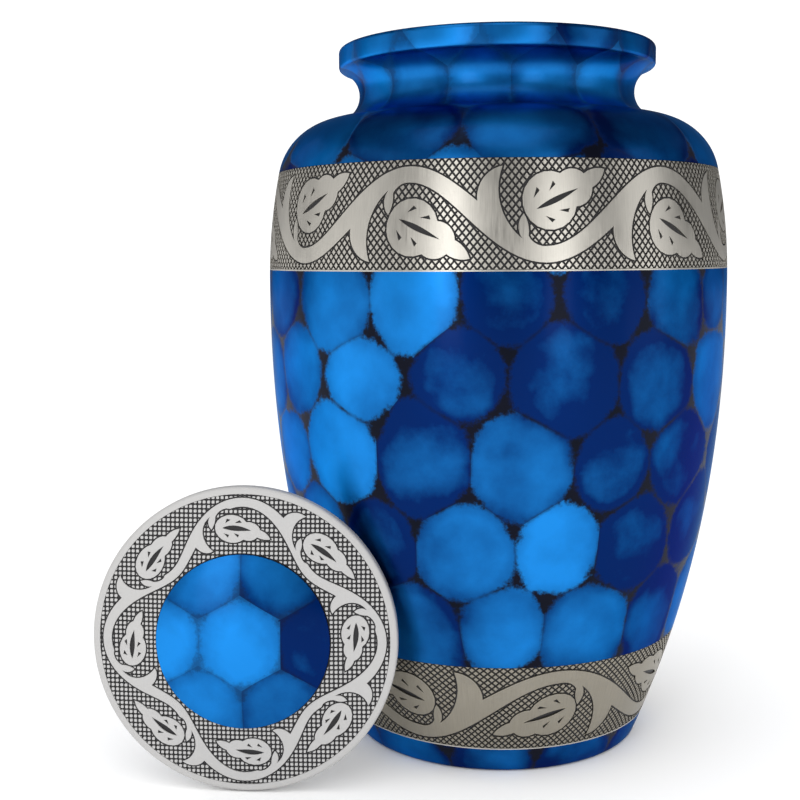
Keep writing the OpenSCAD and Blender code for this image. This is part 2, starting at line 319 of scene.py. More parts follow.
def vessel_outline():
    """The vessel's outline, up the outside from the middle of the foot and down the inside."""
    s, b, _, _ = groups()
    shoulder, neck = bend_middles(s)
    flange = s.height - s.rim_h
    low_a = math.pi + math.asin((neck[1] - shoulder[1] - s.shoulder_bend) / s.neck_bend)
    high_a = math.pi - math.asin((flange - neck[1]) / s.neck_bend)
    out = []

    def add(kind, pts):
        out.extend((r, z, kind) for r, z in pts)

    foot = s.foot_bevel
    # The underside is bare up to five bevels from its edge.
    add(BARE, [(0, 0), (skin_r(0) - 5 * foot, 0)])
    add(LACQUER, [(skin_r(0) - u * foot, v * foot) for u, v in FOOT_EASE])
    for z, w in ((b.low_z, b.low_w), (b.high_z, b.high_w)):
        start = foot if z == b.low_z else b.low_z + b.low_w
        add(LACQUER, climb(start, z - b.edge_line, RING_STEP)[:-1])
        add(BARE, climb(z - b.edge_line, z, RING_STEP)[:-1])
        add(BARE, [(float(skin_r(z)), z)])
        add(ENAMEL, climb(z, z + w, RING_STEP, s.ground_depth))
    end = b.high_z + b.high_w
    add(LACQUER, [(float(skin_r(end)), end)])
    add(LACQUER, bend(shoulder, s.shoulder_bend, s.shoulder_lean, SHOULDER_END, 22))
    add(LACQUER, bend(neck, s.neck_bend, low_a, high_a, 16))
    rim, top, bev = s.rim_r, s.height, s.rim_bevel
    add(LACQUER, [(rim - u * bev, flange + v * bev) for u, v in RIM_EASE] + [(rim, (flange + top) / 2)])
    add(LACQUER, bend((rim - s.rim_round, top - s.rim_round), s.rim_round, 0, math.pi / 2, 8))
    lip = MOUTH_LIP * MM
    add(LACQUER, [(r, top) for r in np.linspace(rim - s.rim_round - 2 * MM, s.mouth_r + lip, 4)])
    add(INSIDE, [(s.mouth_r + u * MM, top - v * MM) for u, v in MOUTH_EASE])
    hollow = s.shoulder_bend - s.wall
    bore, bore_low = s.mouth_r + s.thread_depth, shoulder[1] + hollow * math.sin(HOLLOW_END)
    add(INSIDE, [(bore, z) for z in np.linspace(top - lip - s.thread_depth, bore_low, 6)])
    add(INSIDE, bend(shoulder, hollow, HOLLOW_END, s.shoulder_lean, 12))
    add(INSIDE, climb(s.floor_t + 4 * MM, top - s.shoulder_drop, INNER_STEP, s.wall)[::-1][1:])
    inner = float(skin_r(s.floor_t)) - s.wall
    add(INSIDE, [(inner - u * MM, s.floor_t + v * MM) for u, v in FLOOR_EASE])
    add(INSIDE, [(r, s.floor_t) for r in np.linspace(inner - 10 * MM, 0, 5)])
    return out


# ---- pebbles of the lacquer ----

# How thin the blue is drawn over a pebble, from the deepest to the palest.
GRADES = {"deep": 0, "dark": .12, "middle": .45, "light": .7, "pale": .95}
# Rows in front: height, turn of the first and turn between two in degrees, and their grades.
FRONT_ROWS = (
    (156, -62, 22, "middle light pale dark deep middle"),
    (131, -54, 23, "light pale dark dark dark light"),
    (105, -60, 22, "light pale dark middle dark dark"),
    (79, -51, 22, "middle dark light pale dark deep"),
    (50, -48, 25, "middle middle light middle dark"))
# Rows of the sides, the back, the shoulder and the neck: height, turn of the first in degrees, how many.
PEBBLE_ROWS = ((156, 0, 18), (131, 10, 18), (105, 0, 18), (79, 10, 18), (50, 0, 16), (24, 9, 12),
               (3, 0, 11), (180, 10, 17), (206, 8, 12), (223, 20, 14), (236, 6, 14))
# Heights and turns that the rows in front cover, and the height above which rows run level and veins fade.
FRONT_HEIGHTS, FRONT_TURNS, SHOULDER_Z = (40, 160), (-66, 62), 200
# Least way between two pebbles of the belly, and of the rest.
BELLY_GAP, OTHER_GAP = 17 * MM, 12 * MM
# Where the neck starts, below the top.
NECK_START = 24 * MM
# The lid's boss: one pebble in the middle, and then a ring of them from the right, anticlockwise.
LID_GRADES = "pale dark middle light pale light middle"
LID_RING = 24.5 * MM


def seat(a, z):
    """The place on the outside at a turn in degrees and a height in millimetres."""
    s = groups()[0]
    shoulder, _ = bend_middles(s)
    z *= MM
    if z < s.height - s.shoulder_drop:
        r = float(skin_r(z))
    elif z < s.height - NECK_START:
        r = shoulder[0] + math.sqrt(s.shoulder_bend ** 2 - (z - shoulder[1]) ** 2)
    else:
        r = s.neck_r + 1 * MM if z < s.height - s.rim_h else s.rim_r
    a = math.radians(a)
    return r * math.sin(a), -r * math.cos(a), z


def urn_pebbles():
    """Seeds of the pebbles, x, y, z and paleness: graded rows in front, and rows of any tone elsewhere."""
    chance = random.Random(7)
    found = []
    for z, first, step, grades in FRONT_ROWS:
        for i, grade in enumerate(grades.split()):
            a, h = first + step * i + chance.uniform(-2, 2), z + chance.uniform(-2.5, 2.5)
            found.append((*seat(a, h), GRADES[grade]))
    for z, first, count in PEBBLE_ROWS:
        on_belly = FRONT_HEIGHTS[0] < z < FRONT_HEIGHTS[1]
        for i in range(count):
            a = first + 360 * i / count
            a = (a + 180) % 360 - 180
            a += chance.uniform(-2.5, 2.5)
            h = z + (chance.uniform(-2.5, 2.5) if z < SHOULDER_Z else 0)
            tone = chance.uniform(.1, .8) if z < SHOULDER_Z else chance.uniform(.35, .9)
            p = seat(a, h)
            gap = min(math.dist(p, q[:3]) for q in found)
            in_front = on_belly and FRONT_TURNS[0] < a < FRONT_TURNS[1]
            if not in_front and gap >= (BELLY_GAP if on_belly else OTHER_GAP):
                found.append((*p, tone))
    return np.array(found)


def lid_pebbles():
    """Seeds of the pebbles on the lid's boss."""
    middle, *ring = (GRADES[g] for g in LID_GRADES.split())
    found = [(0, 0, float(face_z(0)), middle)]
    for i, tone in enumerate(ring):
        a = 2 * math.pi * i / len(ring)
        found.append((LID_RING * math.cos(a), LID_RING * math.sin(a), float(face_z(0)), tone))
    return np.array(found)


def mark_pebbles(mesh, seeds, tall, fade):
    """Gives each face corner its distances to the borders of the nearest pebbles.
    A pebble that was dabbed later lies over its neighbours, so its border bulges into theirs.
    pebble = to the nearest border (below 0 past it), to the second border, from the pebble's middle;
    pale = paleness of this pebble, paleness of the one past the border, and how far the veins fade,
    which fade gives for a height."""
    chance = np.random.default_rng(5)
    shape = np.array([1, 1, 1 / tall])
    s = seeds[:, :3] * shape
    push = chance.uniform(.9, 1.12, len(s))
    c = centres_of(mesh) * shape
    co = points_of(mesh) * shape
    vert, face = corners_of(mesh), faces_of_corners(mesh)
    order = np.argsort(np.linalg.norm(c[:, None] - s[None], axis=2) / push, 1)[:, :3]
    near, weight = [], []
    for k in range(3):
        near.append(np.linalg.norm(co[vert] - s[order[face, k]], axis=1) / push[order[face, k]])
        weight.append(1 / push[order[face, k]])
    own, other = seeds[order[face, 0], 3], seeds[order[face, 1], 3]
    pebble = np.stack([(near[1] - near[0]) / (weight[1] + weight[0]),
                       (near[2] - near[0]) / (weight[2] + weight[0]), near[0]], 1) / MM
    pale = np.stack([own, other, fade(points_of(mesh)[vert, 2])], 1)
    for name, values in (("pebble", pebble), ("pale", pale)):
        attribute = mesh.attributes.new(name, "FLOAT_VECTOR", "CORNER")
        attribute.data.foreach_set("vector", values.astype(np.float32).ravel())


# ---- the scroll, drawn flat, in millimetres ----

def bow(a, b, k, steps=8):
    """Points on a bow from a towards b. Its height is k times half the chord, to the left if positive."""
    a, b = np.array(a, float), np.array(b, float)
    chord = np.hypot(*(b - a))
    along = (b - a) / chord
    across = np.array([-along[1], along[0]])
    turn = 2 * math.atan(k)
    r = chord / 2 / math.sin(turn)
    centre = (a + b) / 2 - across * r * math.cos(turn)
    angles = turn * (2 * np.arange(steps) / steps - 1)
    return [centre + r * (along * math.sin(t) + across * math.cos(t)) for t in angles]


# The vine runs between two waves, drawn as shares of the pitch and of half the band's width: the middle
# and the swing of each, how much of its half turn the outer one makes, and how late the inner one turns.
OUTER_MID, OUTER_SWING, OUTER_TURN = 0.161, 0.712, 0.92
INNER_MID, INNER_SWING, INNER_LAG = -0.146, 0.728, 0.03


def vine_outer(s):
    return OUTER_MID + OUTER_SWING * math.cos(math.radians(OUTER_TURN * 180 * s))


def vine_inner(s):
    return INNER_MID + INNER_SWING * math.cos(math.pi * (s + INNER_LAG * math.sin(math.pi * s)))


# Fork of the vine, thorn's point, crotch, next leaf's stalk, its elbow and its heel: share of the
# pitch, share of half the width, and how far the edge to the next one bows.
BAND_MARKS = ((.51, vine_outer(.51), .4), (.69, .85, -.33), (.83, -.45, .38), (.84, 0, .18),
              (.873, -.4, -.3), (1, -vine_inner(0), 0))
LID_MARKS = ((.41, vine_outer(.41), .4), (.6, .77, -.52), (.675, -.37, .38), (.655, .06, .18),
             (.725, -.33, -.3), (.88, -.545, 0))
# Corners of a leaf from its stalk round, as shares of its length, and how far each side bows out.
LEAF_SHAPE = ((0, 0), (.517, .187), (.774, .099), (1, 0), (.76, -.068), (.523, -.191))
LEAF_BULGE = (.74, .4, .22, .23, .38, .71)
# Cuts in a leaf: a long vein, and wedges from their point to their wide end.
LEAF_VEIN = ((.118, .013), (.63, .033))
LEAF_WEDGES = (((.145, -.1), (.228, -.159)), ((.327, -.088), (.412, -.136)), ((.173, .117), (.223, .199)),
               ((.328, .133), (.418, .18)))
# Half the width of those cuts, and from a leaf to its stalk, in millimetres.
VEIN_HALF, WEDGE_HALF, LEAF_GAP = 0.85, 0.62, 0.6
# Bare ground left at the edge of a band or ring, and the length of two facets round a band, in millimetres.
MARGIN, TWO_FACETS = 0.12, 4.6
# Ends of lines this near each other meet, in millimetres, and triangles under half this area are left out.
SNAP, SLIVER = 2e-4, 1e-5
# How deep a relief's underside is sunk into the ground.
SINK = 0.12 * MM


def vine_outline(pitch, half, marks):
    """One repeat of the vine, from crest to crest, with its thorn and the next leaf's stalk."""
    mark = [(x * pitch, y * half) for x, y, _ in marks]
    fork, heel = marks[0][0], marks[5][0]
    out = [(fork * i / 14 * pitch, vine_outer(fork * i / 14) * half) for i in range(14)]
    for i in range(5):
        out += bow(mark[i], mark[i + 1], marks[i][2], 10 if i < 2 else 5)
    out += [(s * pitch, -vine_inner(1 - s) * half) for s in (heel, (heel + 1) / 2, 1)]
    out += [(i / 20 * pitch, vine_inner(i / 20) * half) for i in range(20, -1, -1)]
    return np.array(out, float)


def leaf_outlines(pitch, half, marks, size, breadth, droop, gap):
    """The leaf, and then the cuts in it. The vein is widest just before its middle, and the wide end of
    a wedge is cut a little aslant."""
    shape = []
    for i in range(6):
        shape += bow(LEAF_SHAPE[i], LEAF_SHAPE[(i + 1) % 6], LEAF_BULGE[i], 8)
    (ax, ay), (bx, by) = LEAF_VEIN
    t = np.linspace(0, 1, 10)
    swell = VEIN_HALF / size / breadth * np.sin(math.pi * t ** .85)
    up = np.stack([ax + (bx - ax) * t, ay + (by - ay) * t + swell], 1)
    down = np.stack([ax + (bx - ax) * t, ay + (by - ay) * t - swell], 1)
    cuts = [np.concatenate([up, down[-2:0:-1]])]
    for p, q in LEAF_WEDGES:
        p, q = np.array(p), np.array(q)
        side = np.array([-(q - p)[1], (q - p)[0]]) / np.linalg.norm(q - p) * WEDGE_HALF / size
        cuts.append(np.array([p, q + side, q - side + (q - p) * .14]))
    turn = np.array([[math.cos(droop), -math.sin(droop)], [math.sin(droop), math.cos(droop)]])
    base = np.array([(marks[3][0] - 1) * pitch + gap, -marks[3][1] * half])
    return [np.array(o) * size * (1, breadth) @ turn + base for o in [shape] + cuts]


def inside(points, outline):
    """Which points are inside a closed outline."""
    x, y = points[:, 0, None], points[:, 1, None]
    a, b = outline, np.roll(outline, -1, 0)
    cross = (a[:, 1] > y) != (b[:, 1] > y)
    with np.errstate(divide="ignore", invalid="ignore"):
        at = a[:, 0] + (y - a[:, 1]) * (b[:, 0] - a[:, 0]) / (b[:, 1] - a[:, 1])
    return (cross & (x < at)).sum(1) % 2 == 1


def away(points, lines):
    """Distance from each point to the nearest of the lines (pairs of ends)."""
    best = np.full(len(points), 1e9)
    for i in range(0, len(points), 2000):
        p = points[i:i + 2000, None]
        a, d = lines[None, :, 0], (lines[:, 1] - lines[:, 0])[None]
        t = np.clip(((p - a) * d).sum(2) / np.maximum((d * d).sum(2), 1e-12), 0, 1)
        best[i:i + 2000] = np.sqrt((((a + t[..., None] * d) - p) ** 2).sum(2).min(1))
    return best


def widened(outline, gap, is_seam):
    """The outline's edges moved out by gap, and the edges themselves, without those at a seam.
    Corners are mitred, and a sharp corner's mitre is kept short."""
    n = len(outline)
    nxt = np.roll(outline, -1, 0)
    area = (outline[:, 0] * nxt[:, 1] - nxt[:, 0] * outline[:, 1]).sum()
    edge = nxt - outline
    normal = np.stack([edge[:, 1], -edge[:, 0]], 1) / np.linalg.norm(edge, axis=1)[:, None] * np.sign(area)
    seam = np.array([is_seam(outline[i], nxt[i]) for i in range(n)])
    lines, kept = [], []
    for i in range(n):
        if seam[i]:
            continue
        ends = []
        for v, o in ((i, (i - 1) % n), ((i + 1) % n, (i + 1) % n)):
            other = normal[i] if seam[o] else normal[o]
            m = (normal[i] + other) / max(1 + normal[i] @ other, .25)
            ends.append(outline[v] + m * gap)
        lines.append(ends)
        kept.append((outline[i], nxt[i]))
    return np.array(lines), np.array(kept)


def wrap_uv(mesh, r):
    """Map in metres of a turned wall unrolled at radius r, which the grain of the metal follows."""
    uv = mesh.uv_layers.new(name="flat")
    co, mid = points_of(mesh)[corners_of(mesh)], centres_of(mesh)[faces_of_corners(mesh)]
    turn = np.arctan2(mid[:, 0], -mid[:, 1])
    off = np.arctan2(co[:, 0], -co[:, 1]) - turn
    turn += (off + math.pi) % (2 * math.pi) - math.pi
    uv.data.foreach_set("uv", np.stack([turn * r, co[:, 2]], 1).astype(np.float32).ravel())


def engraving(name, shapes, cuts, pads, is_pad, extra, gap, is_seam, keep):
    """Flat mesh of what stands proud: the shapes less their cuts, and the pads of the hatch
    except within gap of a shape. shapes and cuts are closed outlines, pads and extra are lines.
    is_pad, is_seam and keep say which points lie in a pad, which edges are cut off by a repeat of the
    pattern, and which points the relief covers."""
    lines, kept = [], []
    for o in shapes:
        moved, own = widened(o, gap, is_seam)
        lines.append(moved)
        kept.append(own)
    kept = np.concatenate(kept)
    lines += [np.stack([o, np.roll(o, -1, 0)], 1) for o in list(shapes) + list(cuts)] + [pads, extra]
    lines = np.concatenate([x for x in lines if len(x)])
    verts = [Vector(p) for p in lines.reshape(-1, 2)]
    edges = [(2 * i, 2 * i + 1) for i in range(len(lines))]
    co, _, faces, *_ = delaunay_2d_cdt(verts, edges, [], 0, SNAP)
    co = np.array([tuple(v) for v in co])
    faces = np.array([f for f in faces if len(f) == 3])
    mid = co[faces].mean(1)
    a, b = co[faces[:, 1]] - co[faces[:, 0]], co[faces[:, 2]] - co[faces[:, 0]]
    good = keep(mid) & (np.abs(a[:, 0] * b[:, 1] - a[:, 1] * b[:, 0]) > SLIVER)
    faces, mid = faces[good], mid[good]
    in_shape = np.zeros(len(mid), bool)
    for o in shapes:
        in_shape |= inside(mid, o)
    in_cut = np.zeros(len(mid), bool)
    for o in cuts:
        in_cut |= inside(mid, o)
    proud = (in_shape & ~in_cut) | (~in_shape & is_pad(mid) & (away(mid, kept) > gap * .97))
    faces = faces[proud]
    used, at = np.unique(faces.ravel(), return_inverse=True)
    mesh = bpy.data.meshes.new(name)
    mesh.from_pydata(np.c_[co[used], np.zeros(len(used))] * MM, [], at.reshape(-1, 3).tolist())
    obj = bpy.data.objects.new(name, mesh)
    bpy.context.scene.collection.objects.link(obj)
    return obj


def motif(first, last, pitch, half, marks, size, breadth, droop, hand=1, gap=LEAF_GAP):
    """Vines, leaves and leaf cuts of motifs first to last - 1, every second one upside down."""
    vine = vine_outline(pitch, half, marks)
    leaf, *cuts = leaf_outlines(pitch, half, marks, size, breadth, droop, gap)
    shapes, slits = [], []
    for i in range(first, last):
        flip = np.array([1, 1 if i % 2 == 0 else -1])
        shift = np.array([i * pitch, 0])
        shapes += [(o * flip + shift) * (hand, 1) for o in (vine, leaf)]
        slits += [(o * flip + shift) * (hand, 1) for o in cuts]
    return shapes, slits


def flat_uv(mesh):
    """Map in metres of a relief that still lies flat, which the grain of the metal follows."""
    uv = mesh.uv_layers.new(name="flat")
    uv.data.foreach_set("uv", points_of(mesh)[corners_of(mesh), :2].astype(np.float32).ravel())


def band_relief(name, z, w, leaves, turn, hand, leaf, breadth, droop, columns, rows, pad):
    """One period of the scroll, two leaves long, repeated, wrapped round the wall and given its thickness.
    hand is -1 for a scroll that runs to the left. The hatch has columns and rows of diamonds in a period,
    each pad a share of its diamond."""
    s, b, _, _ = groups()
    half = w / 2 / MM
    r = float(max(skin_r(z), skin_r(z + w / 2), skin_r(z + w)))
    pitch = 2 * math.pi * r / leaves / MM
    period = 2 * pitch
    px, py = period / columns, 2 * half / rows
    origin = min(0, hand) * period
    shapes, cuts = motif(-2, 4, pitch, half, BAND_MARKS, leaf / MM, breadth, droop, hand)

    diamonds = []
    for row in range(2 * rows + 1):
        for col in range(-1, columns + 2):
            cx, cy = origin + (col + row % 2 / 2) * px, -half + row * py / 2
            dx, dy = px * pad / 2, py * pad / 2
            diamonds.append(((cx + dx, cy), (cx, cy + dy), (cx - dx, cy), (cx, cy - dy)))
    corners = np.array(diamonds)
    pads = np.stack([corners, np.roll(corners, -1, 1)], 2).reshape(-1, 2, 2)

    def is_pad(p):
        u, v = (p[:, 0] - origin) / px, (p[:, 1] + half) / py
        d = [np.abs(u + o - np.round(u + o)) + np.abs(v + o - np.round(v + o)) for o in (0, .5)]
        return np.minimum(*d) < pad / 2

    top = half - MARGIN
    xs = np.linspace(origin, origin + period, 2 * round(period / TWO_FACETS) + 1)
    ys = np.linspace(-top, top, 11)
    extra = [((x, -half - 1), (x, half + 1)) for x in xs]
    extra += [((origin - 1, y), (origin + period + 1, y)) for y in ys]

    def keep(p):
        return (p[:, 0] > origin) & (p[:, 0] < origin + period) & (np.abs(p[:, 1]) < top)

    def is_seam(p, q):
        return abs(p[0] - q[0]) < 1e-6 and abs(p[0] / pitch - round(p[0] / pitch)) < 1e-6

    obj = engraving(name, shapes, cuts, pads, is_pad, np.array(extra, float), b.groove / MM, is_seam, keep)
    modify(obj, "ARRAY", count=leaves // 2, use_relative_offset=False, use_constant_offset=True,
           constant_offset_displace=(period * MM, 0, 0), use_merge_vertices=True, merge_threshold=2e-6)
    flat_uv(obj.data)
    co = points_of(obj.data)
    a = turn + co[:, 0] / r
    h = z + w / 2 + co[:, 1]
    move_points(obj.data, np.stack([skin_r(h) * np.sin(a), -skin_r(h) * np.cos(a), h], 1))
    edit(obj, lambda: bpy.ops.mesh.remove_doubles(threshold=3e-6))
    modify(obj, "SOLIDIFY", thickness=s.ground_depth + SINK, offset=-1, use_even_offset=False)
    return obj


# ---- the lid ----

# From the lid to the wall that it leans on.
LID_CLEARANCE = 0.3 * MM
# Width of the cut round the lid's vine and leaves, and of the bare ground round the boss, in millimetres.
LID_GROOVE, BOSS_MARGIN = 0.45, 0.25
# The lid's cross-cut hatch: its step in millimetres, each pad's share of it, and its corners' wear.
LID_STEP, LID_PAD, LID_WORN = 1.42, .64, .2
# Height of the ridge of the collar's thread.
COLLAR_THREAD = 0.4 * MM


def lid_place():
    """From the lid lying face up to where it leans."""
    _, _, p, _ = groups()
    return (Matrix.Translation((-p.left, -lid_forward(), p.edge * math.sin(p.lean)))
            @ Matrix.Rotation(-p.lean, 4, "X") @ Matrix.Translation((0, p.edge, p.radius))
            @ Matrix.Rotation(math.pi / 2, 4, "X"))


def lid_forward():
    """How far forward the lid's foot stands, so that its edge and collar clear the wall."""
    _, _, p, _ = groups()
    far = 0
    for r, depth in ((p.radius, p.edge), (p.collar_r, p.edge + p.collar_h)):
        for a in np.radians(np.arange(-80, 81, 4)):
            h, x = p.radius + r * math.sin(a), r * math.cos(a) - p.left
            front = math.sqrt(max(float(skin_r(h * math.cos(p.lean))) ** 2 - x * x, 0))
            far = max(far, front + h * math.sin(p.lean) + depth)
    return far + LID_CLEARANCE


def face_z(r):
    """Height of the lid's sloping face at radius r, with the lid face up."""
    _, _, p, _ = groups()
    return p.edge + p.face_rise * (p.radius - p.bevel - r) / (p.radius - p.bevel - p.ring_inner)


def lid_outline():
    """The lid's outline, from its hollow round the collar and the edge to the top of its boss."""
    s, _, p, _ = groups()
    boss = float(face_z(p.ring_inner)) + p.boss_step
    bend_r = (p.ring_inner ** 2 + p.boss_rise ** 2) / 2 / p.boss_rise
    half = math.asin(p.ring_inner / bend_r)
    hollow = p.collar_r - p.collar_wall
    top, end, root = p.edge - p.plate, -p.collar_h, p.collar_r - COLLAR_THREAD
    out = []

    def add(kind, pts):
        out.extend((float(r), float(z), kind) for r, z in pts)

    add(INSIDE, [(hollow * t, top + p.face_rise * (1 - t)) for t in (0, .25, .5, .75, .97)])
    add(INSIDE, [(hollow, top - .6 * MM), (hollow, end + .5 * MM), (hollow + .5 * MM, end)])
    add(INSIDE, [(root - .7 * MM, end), (root, end + .7 * MM), (root, 0)])
    add(BARE, [(r, 0) for r in (p.collar_r + 2 * MM, p.radius - .8 * MM)])
    add(BARE, [(p.radius - .3 * MM, .1 * MM), (p.radius, .5 * MM), (p.radius, p.edge / 2)])
    add(BARE, bend((p.radius - p.bevel, p.edge - p.bevel), p.bevel, 0, math.pi / 2 * .96, 8))
    add(BARE, [(p.ring_outer, face_z(p.ring_outer))])
    add(ENAMEL, [(r, face_z(r) - s.ground_depth) for r in np.linspace(p.ring_outer, p.ring_inner, 6)])
    dome = bend((0, boss + p.boss_rise - bend_r), bend_r, math.pi / 2 - half, math.pi / 2, 16)
    edge = dome[0]
    add(LACQUER, [(edge[0], edge[1] - .35 * MM), (edge[0] - .12 * MM, edge[1] - .08 * MM)])
    add(LACQUER, [(r, z) for r, z in dome[1:]])
    return out


def lid_relief():
    """The scroll bent into a ring, over a square cross-cut hatch."""
    s, _, p, _ = groups()
    mid, half = (p.ring_outer + p.ring_inner) / 2 / MM, (p.ring_outer - p.ring_inner) / 2 / MM
    pitch = 2 * math.pi * mid / p.leaves
    flat, slits = motif(0, p.leaves, pitch, half, LID_MARKS, p.leaf / MM, .76, p.droop, gap=2 * LEAF_GAP)

    def ring(o):
        a = math.pi / 2 - o[:, 0] / mid
        return np.stack([(mid + o[:, 1]) * np.cos(a), (mid + o[:, 1]) * np.sin(a)], 1)

    shapes, cuts = [ring(o) for o in flat], [ring(o) for o in slits]
    step, pad, soft = LID_STEP, LID_PAD, LID_WORN
    outer = p.ring_outer / MM
    n = int(outer / step) + 1
    side = 1 - 2 * soft
    octagon = np.array([(1, -side), (1, side), (side, 1), (-side, 1),
                        (-1, side), (-1, -side), (-side, -1), (side, -1)]) * step * pad / 2
    places = [((i + .5) * step, (j + .5) * step) for i in range(-n, n) for j in range(-n, n)]
    places = [q for q in places if p.ring_inner / MM - 1 < math.hypot(*q) < outer + 1]
    corners = np.array([octagon + q for q in places])
    pads = np.stack([corners, np.roll(corners, -1, 1)], 2).reshape(-1, 2, 2)

    def is_pad(q):
        d = np.abs(q / step - np.floor(q / step) - .5) * 2 / pad
        return (d.max(1) < 1) & (d.sum(1) < 2 - 2 * soft)

    low, high = p.ring_inner / MM + BOSS_MARGIN, outer - MARGIN
    extra = []
    for r, count in ((low, 180), (high, 240)) + tuple((r, 96) for r in np.linspace(low, high, 6)[1:-1]):
        a = np.linspace(0, 2 * math.pi, count, endpoint=False)
        c = np.stack([r * np.cos(a), r * np.sin(a)], 1)
        extra.append(np.stack([c, np.roll(c, -1, 0)], 1))

    def keep(q):
        r = np.hypot(q[:, 0], q[:, 1])
        return (r > low * .9998) & (r < high * .9998)

    def is_seam(u, v):
        a, b = ((math.pi / 2 - math.atan2(q[1], q[0])) * p.leaves / 2 / math.pi for q in (u, v))
        return abs(a - b) < 1e-6 and abs(a - round(a)) < 1e-6

    obj = engraving("lid_relief", shapes, cuts, pads, is_pad, np.concatenate(extra), LID_GROOVE,
                    is_seam, keep)
    flat_uv(obj.data)
    modify(obj, "SOLIDIFY", thickness=s.ground_depth + SINK, offset=-1, use_even_offset=False)
    co = points_of(obj.data)
    co[:, 2] += face_z(np.hypot(co[:, 0], co[:, 1]))
    move_points(obj.data, co)
    edit(obj, lambda: bpy.ops.mesh.normals_make_consistent(inside=False))
    return obj


# Section of a thread: up, as a share of the pitch, and out, as a share of its depth. Its foot is sunk.
SUNK = 0.4
RIDGE = ((-.46, -SUNK), (-.2, .7), (0, 1), (.2, .7), (.46, -SUNK), (0, -.45))
TURN_STEPS = 96
# Where the threads start: the top of the mouth's below the top, and the collar's above its end.
MOUTH_THREAD_DROP, COLLAR_THREAD_RISE = 5.5 * MM, 1.6 * MM


def thread(name, wall_r, depth, z0, pitch, turns, side):
    """A rounded ridge carried round a wall as a screw, and run out over a tenth of a turn at both ends.
    It stands depth proud of wall_r, outwards if side is 1 and inwards if it is -1."""
    clear_selection()
    bpy.ops.mesh.primitive_circle_add(vertices=len(RIDGE), radius=pitch / 2, location=(wall_r, 0, z0))
    obj = bpy.context.object
    bpy.ops.object.transform_apply(location=True, rotation=True, scale=True)
    move_points(obj.data, [(wall_r + side * depth * v, 0, z0 + pitch * u) for u, v in RIDGE])
    modify(obj, "SCREW", steps=TURN_STEPS * turns, render_steps=TURN_STEPS * turns,
           angle=2 * math.pi * turns, screw_offset=pitch * turns)
    co = points_of(obj.data)
    done = np.arange(len(co)) // len(RIDGE) / (len(co) / len(RIDGE) - 1)
    full = np.clip(np.minimum(done, 1 - done) * turns * 10, 0, 1)
    r = np.hypot(co[:, 0], co[:, 1])
    low = wall_r - side * SUNK * depth
    co[:, :2] *= ((low + (r - low) * full) / r)[:, None]
    move_points(obj.data, co)
    edit(obj, lambda: bpy.ops.mesh.fill_holes(sides=len(RIDGE)),
         lambda: bpy.ops.mesh.select_all(action="SELECT"),
         lambda: bpy.ops.mesh.normals_make_consistent(inside=False))
    obj.name = obj.data.name = name
    dress(obj, spun_aluminium())
    smooth(obj, 50)
    return obj


class URN_OT_studio(bpy.types.Operator):
    """Floor, soft lights, camera and the pale surround"""
    bl_idname = "urn.studio"
    bl_label = "Studio"

    def execute(self, context):
        build_floor()
        build_surround()
        for light in LIGHTS:
            soft_light(*light)
        build_camera()
        context.scene.view_settings.view_transform = "Standard"
        return {"FINISHED"}


class URN_OT_shell(bpy.types.Operator):
    """The vessel, turned from its outline, with the ground of the two bands"""
    bl_idname = "urn.shell"
    bl_label = "Vessel"

    def execute(self, context):
        s, _, _, _ = groups()
        obj = turned("urn_shell", vessel_outline(), 240)
        wrap_uv(obj.data, s.belly_r)
        # The pebbles stand a tenth taller than wide, and the veins fade above the shoulder.
        mark_pebbles(obj.data, urn_pebbles(), 1.1,
                     lambda z: .6 * np.clip((z - SHOULDER_Z * MM) / (20 * MM), 0, 1))
        dress(obj, blue_lacquer(), band_aluminium(), black_enamel(), spun_aluminium())
        smooth(obj)
        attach(obj, "root")
        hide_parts("urn_body")
        start = s.height - MOUTH_THREAD_DROP - s.thread_pitch * s.thread_turns
        ridge = thread("mouth_thread", s.mouth_r + s.thread_depth, s.thread_depth, start,
                       s.thread_pitch, s.thread_turns, -1)
        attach(ridge, "root")
        return {"FINISHED"}


class URN_OT_bands(bpy.types.Operator):
    """The raised vine, leaves and hatch of the two bands"""
    bl_idname = "urn.bands"
    bl_label = "Engraved bands"

    def execute(self, context):
        _, b, _, _ = groups()
        high = band_relief("high_band_relief", b.high_z, b.high_w, b.high_leaves, b.high_turn, 1,
                           b.high_leaf, 1, b.high_droop, 37, 12, .64)
        low = band_relief("low_band_relief", b.low_z, b.low_w, b.low_leaves, b.low_turn, -1,
                          b.low_leaf, .8, b.low_droop, 40, 14, .66)
        # The lower band takes a darker, browner copy of the band metal, which is painted shade.
        for obj, metal in ((high, band_aluminium()), (low, shaded_foot_aluminium())):
            dress(obj, metal)
            smooth(obj)
            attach(obj, "root")
        return {"FINISHED"}


class URN_OT_lid(bpy.types.Operator):
    """The lid's plate with its collar and boss, and the raised scroll on its face"""
    bl_idname = "urn.lid"
    bl_label = "Lid"

    def execute(self, context):
        s, _, p, _ = groups()
        plate = turned("lid_plate", lid_outline(), 200)
        # The veins are fainter on the boss.
        mark_pebbles(plate.data, lid_pebbles(), 1, lambda z: z * 0 + .45)
        dress(plate, blue_lacquer(), lid_aluminium(), black_enamel(), spun_aluminium())
        relief = lid_relief()
        dress(relief, lid_aluminium())
        ridge = thread("collar_thread", p.collar_r - COLLAR_THREAD, COLLAR_THREAD,
                       -p.collar_h + COLLAR_THREAD_RISE, s.thread_pitch, 1, 1)
        smooth(plate)
        smooth(relief)
        for obj in (plate, relief, ridge):
            obj.data.transform(lid_place())
            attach(obj, "root")
        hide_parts("lid")
        return {"FINISHED"}


# ---- finishes ----

